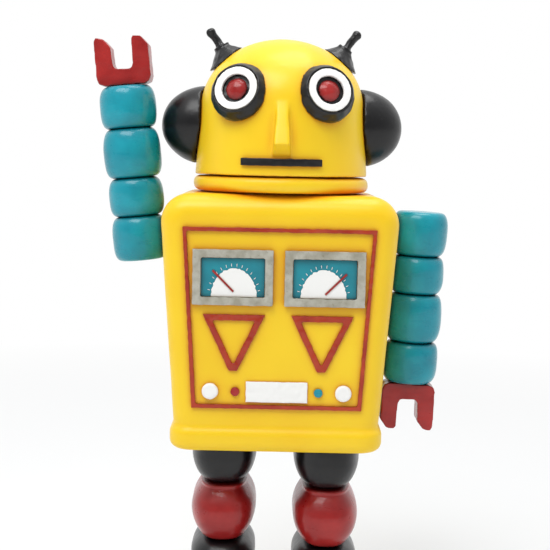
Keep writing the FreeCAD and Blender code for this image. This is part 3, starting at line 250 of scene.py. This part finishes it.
def keep(piece, node, slot=None, material=None, hides=True, smooth=True):
    """A finished piece rides with the body of its CAD node, and stands for the node if it hides it."""
    slot = slot or slot_of[node]
    piece.data.materials.clear()
    piece.data.materials.append(material or materials[slot])
    for face in piece.data.polygons:
        face.use_smooth = smooth
    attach(piece, body_of[node])
    if hides:
        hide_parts(node)


def linked(name, data):
    """A new object with a mesh, light or camera, in the scene."""
    piece = bpy.data.objects.new(name, data)
    bpy.context.scene.collection.objects.link(piece)
    return piece


def piece_from(name, points, faces):
    mesh = bpy.data.meshes.new(name)
    mesh.from_pydata([tuple(point) for point in points], [], faces)
    mesh.validate()
    return linked(name, mesh)


def loft(name, rings):
    """A skin over rings that have the same number of points, closed with a fan at each end."""
    count = len(rings[0])
    points = [point for ring in rings for point in ring]
    faces = []
    for row in range(len(rings) - 1):
        low, high = row * count, (row + 1) * count
        for step in range(count):
            following = (step + 1) % count
            faces.append((low + step, low + following, high + following, high + step))
    for row, turn in ((0, -1), (len(rings) - 1, 1)):
        ring = rings[row]
        points.append(sum(ring, Vector()) / count)
        centre = len(points) - 1
        for step in range(count):
            pair = (row * count + step, row * count + (step + 1) % count)
            faces.append((*pair[::turn], centre))
    return piece_from(name, points, faces)


def prism(name, outline, far_outline):
    """A flat-sided solid between two outlines that have the same number of points."""
    count = len(outline)
    faces = [(step, (step + 1) % count, count + (step + 1) % count, count + step) for step in range(count)]
    faces += [tuple(range(count)), tuple(range(2 * count - 1, count - 1, -1))]
    return piece_from(name, outline + far_outline, faces)


def joined(name, pieces):
    """One piece made of several, which are then removed."""
    mesh = bmesh.new()
    for piece in pieces:
        mesh.from_mesh(piece.data)
        bpy.data.objects.remove(piece)
    data = bpy.data.meshes.new(name)
    mesh.to_mesh(data)
    mesh.free()
    return linked(name, data)


def wobble(point, size, amount):
    """How far a hand-made surface falls below its ideal shape at a point, from 0 to an amount."""
    return amount * (0.5 + 0.5 * max(-1.0, min(1.0, noise.noise(point / size))))


def finished_mesh(piece):
    """A piece's mesh after its modifiers, which are then taken off."""
    bpy.context.view_layer.update()
    evaluated = piece.evaluated_get(bpy.context.evaluated_depsgraph_get())
    mesh = bpy.data.meshes.new_from_object(evaluated)
    piece.modifiers.clear()
    piece.data = mesh
    return mesh


def melt(piece, cell, passes, uneven, across):
    """Rounds a piece's edges and makes its surface a little uneven, as hand work does.

    Lengths are in millimetres: the voxel size, and the depth and width of the unevenness.
    """
    remesh = piece.modifiers.new("remesh", "REMESH")
    remesh.mode = "VOXEL"
    remesh.voxel_size = cell * MM
    relax = piece.modifiers.new("relax", "SMOOTH")
    relax.factor = 0.5
    relax.iterations = passes
    mesh = finished_mesh(piece)
    # Blender works all normals out again once a vertex has moved, so they are read before any does
    normals = [vertex.normal.copy() for vertex in mesh.vertices]
    for vertex, normal in zip(mesh.vertices, normals):
        vertex.co -= normal * wobble(vertex.co, across * MM, uneven * MM)
    return piece


def soften(node, cell, passes, uneven, across, material=None):
    """A CAD node's own form, melted."""
    piece = linked(f"{node}_form", frame["nodes"][node].data.copy())
    keep(melt(piece, cell, passes, uneven, across), node, material=material)


def offsets_of(node, origin):
    """Where a CAD node's vertices are from an origin."""
    return [vertex.co - origin for vertex in frame["nodes"][node].data.vertices]


def wrist_axis(side):
    """The direction from a shoulder to its claw's tips."""
    return Vector(joints[f"{side}_wrist"]["axis"]).normalized()


# ---- arms ----

BEADS_PER_ARM = 4
BEAD_STEPS = 26
BEAD_SEGMENTS = 96
# A bead's radius where it meets the next, as a share of its largest
BEAD_CREASE = 0.66
# How square a bead's outline is: 2 is an ellipse
BEAD_WRIST_POWER = 2.5
BEAD_SHOULDER_POWER = 3.0
BEAD_UNEVEN = 0.4 * MM
BEAD_UNEVEN_SIZE = 8 * MM


def bead_profile(low, high, radius):
    """A bead's outline: full sides, and a slightly tighter turn at the shoulder end."""
    middle, half = (low + high) / 2, (high - low) / 2
    points = []
    for step in range(BEAD_STEPS + 1):
        along = -math.cos(math.pi * step / BEAD_STEPS)
        power = BEAD_SHOULDER_POWER if along < 0 else BEAD_WRIST_POWER
        bulge = (1 - abs(along) ** power) ** (1 / power)
        points.append((radius * (BEAD_CREASE + (1 - BEAD_CREASE) * bulge), middle + half * along))
    return points


def turned_bead(name, origin, axis, profile):
    """A bead turned about an axis: its profile is a list of (radius, distance along the axis)."""
    first = Vector((0, 1, 0)).cross(axis).normalized()
    second = axis.cross(first)
    rings = []
    for radius, distance in profile:
        ring = []
        for step in range(BEAD_SEGMENTS):
            angle = TAU * step / BEAD_SEGMENTS
            out = first * math.cos(angle) + second * math.sin(angle)
            point = origin + axis * distance + out * radius
            ring.append(point - out * wobble(point, BEAD_UNEVEN_SIZE, BEAD_UNEVEN))
        rings.append(ring)
    return loft(name, rings)


def arm_beads():
    for side in SIDES:
        pivot = Vector(joints[f"{side}_shoulder"]["pos_m"])
        hand = wrist_axis(side)
        for number in range(1, BEADS_PER_ARM + 1):
            node = f"{side}_arm_bead_{number}"
            offsets = offsets_of(node, pivot)
            along = [offset.dot(hand) for offset in offsets]
            radius = max((offset - hand * distance).length for offset, distance in zip(offsets, along))
            profile = bead_profile(min(along), max(along), radius)
            keep(turned_bead(f"{node}_form", pivot, hand, profile), node)


# A claw from the front: from its inner side (-1) to its outer side (+1), and from its wrist (0) to its
# tips (1). The side of each finger that faces the torso is cut off at a slant.
CLAW_OUTLINE = [
    (-0.72, 0.00), (-0.93, 0.05), (-1.00, 0.16), (-1.00, 0.80), (-0.74, 0.985), (-0.44, 1.00),
    (-0.37, 0.94), (-0.35, 0.44), (-0.27, 0.35), (0.27, 0.35), (0.35, 0.44), (0.38, 0.80),
    (0.62, 0.97), (0.90, 1.00), (1.00, 0.92), (1.00, 0.16), (0.93, 0.05), (0.72, 0.00),
]


def claws():
    for side, outward in (("right", Vector((-1, 0, 0))), ("left", Vector((1, 0, 0)))):
        node = f"{side}_claw"
        wrist = Vector(joints[f"{side}_wrist"]["pos_m"])
        hand = wrist_axis(side)
        across = (outward - hand * outward.dot(hand)).normalized()
        offsets = offsets_of(node, wrist)
        along = [offset.dot(hand) for offset in offsets]
        start, length = min(along), max(along) - min(along)
        half_width = max(abs(offset.dot(across)) for offset in offsets)
        half_depth = max(abs(offset.y) for offset in offsets)
        middle = [wrist + across * half_width * u + hand * (start + length * v) for u, v in CLAW_OUTLINE]
        depth = Vector((0, half_depth, 0))
        front, back = [point - depth for point in middle], [point + depth for point in middle]
        piece = prism(f"{node}_form", front, back)
        keep(melt(piece, cell=0.5, passes=5, uneven=0.35, across=3.5), node)


# ---- legs ----

# A leg bead's side from its bottom (0) to its top (1): how far it is drawn in there, in millimetres
LEG_SIDES = {
    "hip": [(0.0, 7.0), (0.03, 4.6), (0.12, 2.3), (0.28, 0.7), (0.46, 0.0), (0.7, 0.1), (1.0, 0.8)],
    "thigh": [(0.0, 7.0), (0.03, 4.8), (0.11, 2.9), (0.26, 1.0), (0.42, 0.1), (0.55, 0.1), (0.68, 0.8),
              (0.79, 2.1), (0.87, 3.3), (0.905, 3.9), (0.935, 3.6), (0.965, 3.8), (1.0, 6.0)],
    "knee": [(0.0, 7.0), (0.04, 4.2), (0.15, 2.0), (0.32, 0.4), (0.5, 0.0), (0.66, 0.4), (0.83, 2.0),
             (0.95, 4.2), (1.0, 7.0)],
}
LEG_STEPS = 48
LEG_SEGMENTS = 112
# How square a leg bead is from above: 2 is an ellipse
LEG_POWER = 2.8
LEG_UNEVEN = 0.35 * MM
LEG_UNEVEN_SIZE = 9 * MM
TOLERANCE = 1e-9


def rounded_ring(centre, half_width, half_depth, level):
    """A ring between an ellipse and a rectangle, level with the floor."""
    ring = []
    for step in range(LEG_SEGMENTS):
        angle = TAU * step / LEG_SEGMENTS
        x = math.copysign(abs(math.cos(angle)) ** (2 / LEG_POWER), math.cos(angle))
        y = math.copysign(abs(math.sin(angle)) ** (2 / LEG_POWER), math.sin(angle))
        point = Vector((centre.x + half_width * x, centre.y + half_depth * y, level))
        inward = Vector((centre.x - point.x, centre.y - point.y, 0)).normalized()
        ring.append(point + inward * wobble(point, LEG_UNEVEN_SIZE, LEG_UNEVEN))
    return ring


def along_curve(points, place):
    """The height of a smooth curve through points, which are in order, at a place between 0 and 1."""
    index = max(i for i, point in enumerate(points[:-1]) if point[0] <= place + TOLERANCE)
    before, after = points[max(index - 1, 0)], points[min(index + 2, len(points) - 1)]
    (x1, y1), (x2, y2) = points[index], points[index + 1]
    run = x2 - x1
    slope1 = (y2 - before[1]) / (x2 - before[0]) * run
    slope2 = (after[1] - y1) / (after[0] - x1) * run
    t = (place - x1) / run
    return (y1 * (2 * t ** 3 - 3 * t ** 2 + 1) + slope1 * (t ** 3 - 2 * t ** 2 + t)
            + y2 * (3 * t ** 2 - 2 * t ** 3) + slope2 * (t ** 3 - t ** 2))


def leg_bead(node, outline):
    low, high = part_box(node)
    centre = (low + high) / 2
    rings = []
    for step in range(LEG_STEPS + 1):
        place = step / LEG_STEPS
        inset = max(along_curve(outline, place), 0) * MM
        half_width = (high.x - low.x) / 2 - inset
        half_depth = (high.y - low.y) / 2 - inset
        rings.append(rounded_ring(centre, half_width, half_depth, low.z + (high.z - low.z) * place))
    keep(loft(f"{node}_form", rings), node)


def legs():
    for side in SIDES:
        for part, outline in LEG_SIDES.items():
            leg_bead(f"{side}_{part}_bead", outline)
        soften(f"{side}_foot", cell=0.8, passes=10, uneven=0.3, across=9)


# ---- torso and head ----


def casing():
    for node in ("torso_front_shell", "torso_back_shell"):
        soften(node, cell=0.7, passes=4, uneven=0.22, across=16)
    soften("neck_collar", cell=0.6, passes=5, uneven=0.3, across=9)
    soften("head_shell", cell=0.55, passes=12, uneven=0.25, across=14)


def face():
    soften("eye_cups", cell=0.4, passes=4, uneven=0.35, across=2.2)
    soften("eye_rings", cell=0.25, passes=5, uneven=0.2, across=1.6)
    soften("eye_lenses", cell=0.3, passes=5, uneven=0.3, across=1.8)
    soften("ears", cell=0.8, passes=6, uneven=0.35, across=9)
    soften("antennae", cell=0.35, passes=5, uneven=0.6, across=2.4)
    soften("mouth_bar", cell=0.3, passes=5, uneven=0.25, across=2.2)


def chest():
    soften("panel_border", cell=0.28, passes=4, uneven=0.35, across=2.0, material=trim_red)
    soften("chest_triangles", cell=0.26, passes=4, uneven=0.35, across=1.8, material=trim_red)
    soften("gauge_frames", cell=0.28, passes=4, uneven=0.3, across=1.9)
    soften("label_plate", cell=0.26, passes=5, uneven=0.3, across=2.0)
    for node in ("white_buttons", "red_stud", "teal_stud"):
        soften(node, cell=0.25, passes=3, uneven=0.2, across=1.5)


DIAL_WIDTH_TO_HEIGHT = 1.7
SCALE_HALF_WIDTH = 8.5 * MM
SCALE_HEIGHT = 10.6 * MM
SCALE_THICKNESS = 0.12 * MM
SCALE_POINTS = 40
# How uneven a scale's painted edge is, as a share of its radius, and how far apart its waves are
SCALE_UNEVEN = 0.05
SCALE_UNEVEN_STEP = 0.9
TICKS = 15
# Where a tick starts and ends, in radii of the scale
TICK_START = 1.07
TICK_END = 1.17
TICK_HALF_WIDTH = 0.1 * MM


def dial_plate(name, outline, dial_front):
    """A thin plate on a dial's front, with an outline in X and Z."""
    back = [Vector((x, dial_front + SCALE_THICKNESS, z)) for x, z in outline]
    front = [Vector((x, dial_front - SCALE_THICKNESS, z)) for x, z in outline]
    return prism(name, back, front)


def gauge_scale(side, centre, bottom, dial_front):
    """A white half disc on a dial, ringed by fine ticks."""
    def on_arc(angle, reach):
        return Vector((centre + SCALE_HALF_WIDTH * reach * math.cos(angle),
                       bottom + SCALE_HEIGHT * reach * math.sin(angle)))

    outline = []
    for step in range(SCALE_POINTS + 1):
        dip = SCALE_UNEVEN * noise.noise(Vector((step * SCALE_UNEVEN_STEP, centre, 0)))
        outline.append(on_arc(math.pi * step / SCALE_POINTS, 1 - dip))
    pieces = [dial_plate("disc", outline, dial_front)]
    for step in range(1, TICKS):
        angle = math.pi * step / TICKS
        inner, outer = on_arc(angle, TICK_START), on_arc(angle, TICK_END)
        aside = (outer - inner).orthogonal().normalized() * TICK_HALF_WIDTH
        corners = [inner - aside, outer - aside, outer + aside, inner + aside]
        pieces.append(dial_plate("tick", corners, dial_front))
    scale = joined(f"{side}_gauge_scale", pieces)
    keep(scale, "gauge_dials", slot="white_paint", hides=False, smooth=False)


def gauge_scales():
    low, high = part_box("gauge_dials")
    half_window = (high.z - low.z) * DIAL_WIDTH_TO_HEIGHT / 2
    for side, centre in (("right", low.x + half_window), ("left", high.x - half_window)):
        gauge_scale(side, centre, low.z, low.y)


# ---- whole CAD pieces that only need a finish ----


def finish_cad_nodes():
    for node, piece in frame["nodes"].items():
        piece.data.materials.clear()
        piece.data.materials.append(materials[slot_of[node]])


# ---- stage ----

CAMERA_PLACE = (-1.5 * MM, -450 * MM, 199 * MM)
# The camera's tilt from straight down, and its roll, in degrees
CAMERA_TILT = 84.0
CAMERA_ROLL = 1.2
CAMERA_LENS = 73.6
CAMERA_SENSOR = 36
CAMERA_CLIP = 10 * MM


def camera():
    data = bpy.data.cameras.new("camera")
    data.lens = CAMERA_LENS
    data.sensor_width = CAMERA_SENSOR
    data.clip_start = CAMERA_CLIP
    piece = linked("camera", data)
    piece.matrix_world = (
        Matrix.Translation(CAMERA_PLACE)
        @ Matrix.Rotation(math.radians(CAMERA_TILT), 4, "X")
        @ Matrix.Rotation(math.radians(CAMERA_ROLL), 4, "Z")
    )
    bpy.context.scene.camera = piece


def area_light(name, place, target, size, power):
    data = bpy.data.lights.new(name, "AREA")
    data.shape = "RECTANGLE"
    data.size, data.size_y = size
    data.energy = power
    piece = linked(name, data)
    piece.location = place
    piece.rotation_mode = "QUATERNION"
    piece.rotation_quaternion = (Vector(target) - Vector(place)).to_track_quat("-Z", "Y")


# How brightly the room lights the robot from low in front of it, and from high behind it
ROOM_FRONT_LIGHT = 0.22
ROOM_BACK_LIGHT = 0.95


def room():
    """A white room that is dimmer in front of the robot than above and behind it."""
    world = bpy.data.worlds.new("room")
    bpy.context.scene.world = world
    world.use_nodes = True
    tree = world.node_tree
    direction = tree.nodes.new("ShaderNodeTexCoord")
    parts = tree.nodes.new("ShaderNodeSeparateXYZ")
    tree.links.new(direction.outputs["Generated"], parts.inputs[0])
    total = tree.nodes.new("ShaderNodeMath")
    total.operation = "ADD"
    tree.links.new(parts.outputs["Y"], total.inputs[0])
    tree.links.new(parts.outputs["Z"], total.inputs[1])
    level = tree.nodes.new("ShaderNodeMapRange")
    ends = {"From Min": -1.0, "From Max": 1.0, "To Min": ROOM_FRONT_LIGHT, "To Max": ROOM_BACK_LIGHT}
    for name, value in ends.items():
        level.inputs[name].default_value = value
    tree.links.new(total.outputs[0], level.inputs["Value"])
    # The room itself is seen as plain white
    seen = tree.nodes.new("ShaderNodeLightPath")
    strength = tree.nodes.new("ShaderNodeMix")
    tree.links.new(seen.outputs["Is Camera Ray"], strength.inputs["Factor"])
    tree.links.new(level.outputs["Result"], strength.inputs["A"])
    strength.inputs["B"].default_value = 1.0
    background = tree.nodes["Background"]
    background.inputs["Color"].default_value = (1, 1, 1, 1)
    tree.links.new(strength.outputs["Result"], background.inputs["Strength"])


FLOOR_REACH = 4


def stage():
    bpy.context.scene.view_settings.view_transform = "Standard"
    room()
    corners = [Vector((x * FLOOR_REACH, y * FLOOR_REACH, 0)) for x, y in ((-1, -1), (1, -1), (1, 1), (-1, 1))]
    floor = piece_from("floor", corners, [(0, 1, 2, 3)])
    floor.data.materials.append(floor_paint())
    area_light("key_light", place=(-0.25, -0.45, 0.85), target=(0, 0, 0.17), size=(0.6, 0.4), power=4.0)
    area_light("top_light", place=(0.1, 0.05, 0.9), target=(0, 0, 0.2), size=(0.4, 0.4), power=2.0)


finish_cad_nodes()
casing()
face()
chest()
gauge_scales()
arm_beads()
claws()
legs()
camera()
stage()
